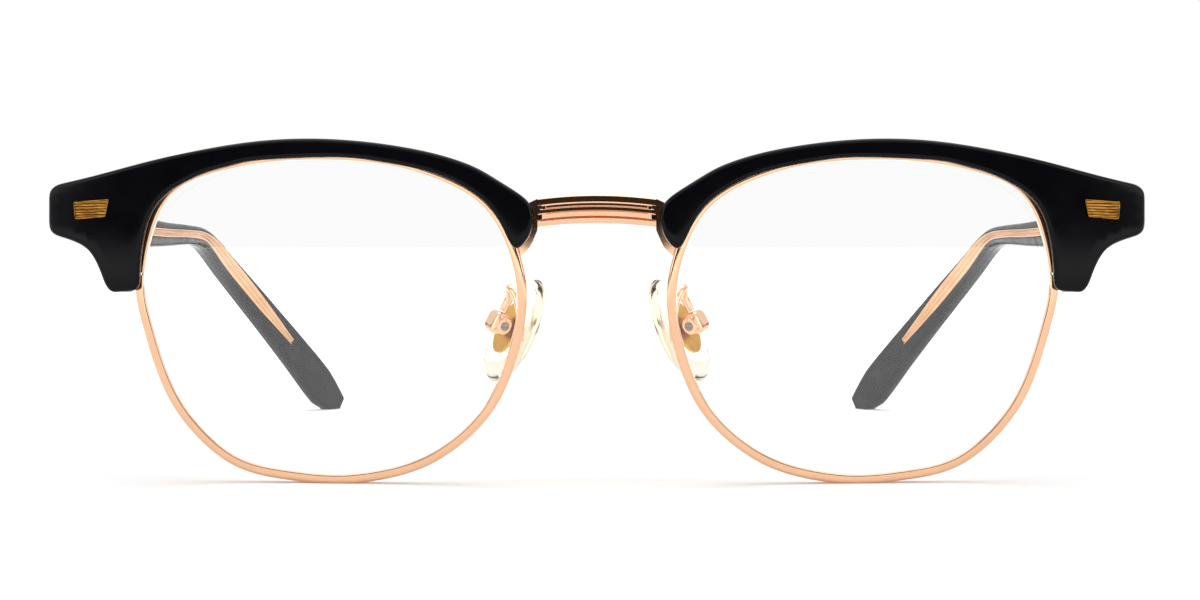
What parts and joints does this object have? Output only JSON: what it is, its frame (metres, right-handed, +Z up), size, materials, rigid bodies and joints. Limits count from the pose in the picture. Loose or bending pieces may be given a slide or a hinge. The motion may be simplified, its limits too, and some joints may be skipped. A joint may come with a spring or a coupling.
{
  "type": "browline eyeglasses",
  "caption": "Browline spectacles with round metal eyewires, dark plastic brows, ribbed plaques, clear lenses, adjustable nose pads and folding laminated temples.",
  "frame": {"origin": "on the table under the middle of the open eyeglasses", "axes": "+X to the wearer's left, +Y from the front back along the temples, +Z up from the table"},
  "size_m": [0.142, 0.1408, 0.044],
  "materials": {
    "rose_gold": "polished rose-gold plating",
    "screw_steel": "nickel-plated",
    "pale_gold": "pale gold plating",
    "antique_gold": "ribbed, antiqued",
    "black_acetate": "polished acetate",
    "smoke_crystal": "polished clear acetate over black",
    "silicone": "clear silicone",
    "demo_lens": "clear polished lens"
  },
  "bodies": {
    "front": {"bridge": "rose_gold", "left_brow": "black_acetate", "left_brow_plaque": "antique_gold", "left_brow_screw": "screw_steel", "left_brow_tab": "rose_gold", "left_closing_block_lower": "rose_gold", "left_closing_block_upper": "rose_gold", "left_closing_screw": "screw_steel", "left_end_plate": "rose_gold", "left_end_screw": "screw_steel", "left_front_hinge": "rose_gold", "left_lens": "demo_lens", "left_pad_arm": "rose_gold", "left_pad_box": "rose_gold", "left_pad_screw": "screw_steel", "left_rim": "rose_gold", "right_brow": "black_acetate", "right_brow_plaque": "antique_gold", "right_brow_screw": "screw_steel", "right_brow_tab": "rose_gold", "right_closing_block_lower": "rose_gold", "right_closing_block_upper": "rose_gold", "right_closing_screw": "screw_steel", "right_end_plate": "rose_gold", "right_end_screw": "screw_steel", "right_front_hinge": "rose_gold", "right_lens": "demo_lens", "right_pad_arm": "rose_gold", "right_pad_box": "rose_gold", "right_pad_screw": "screw_steel", "right_rim": "rose_gold"},
    "right_temple": {"right_temple_outer": "black_acetate", "right_temple_lining": "smoke_crystal", "right_core_wire": "rose_gold", "right_temple_hinge": "rose_gold", "right_hinge_screw": "screw_steel"},
    "right_pad": {"right_nose_pad": "silicone", "right_pad_insert": "pale_gold"},
    "left_temple": {"left_temple_outer": "black_acetate", "left_temple_lining": "smoke_crystal", "left_core_wire": "rose_gold", "left_temple_hinge": "rose_gold", "left_hinge_screw": "screw_steel"},
    "left_pad": {"left_nose_pad": "silicone", "left_pad_insert": "pale_gold"}
  },
  "joints": [
    {"name": "right_temple_fold", "type": "hinge", "parent": "front", "child": "right_temple", "pos_m": [-0.0657, -0.05593, 0.0353], "axis": [0, 0, -1], "range_deg": [0, 74]},
    {"name": "right_pad_rock", "type": "hinge", "parent": "front", "child": "right_pad", "pos_m": [-0.01284, -0.06067, 0.02044], "axis": [-0.6014, 0.7431, 0.2933], "range_deg": [-10, 10]},
    {"name": "left_temple_fold", "type": "hinge", "parent": "front", "child": "left_temple", "pos_m": [0.0657, -0.05593, 0.0353], "axis": [0, 0, 1], "range_deg": [0, 84]},
    {"name": "left_pad_rock", "type": "hinge", "parent": "front", "child": "left_pad", "pos_m": [0.01284, -0.06067, 0.02044], "axis": [0.6014, 0.7431, 0.2933], "range_deg": [-10, 10]}
  ]
}
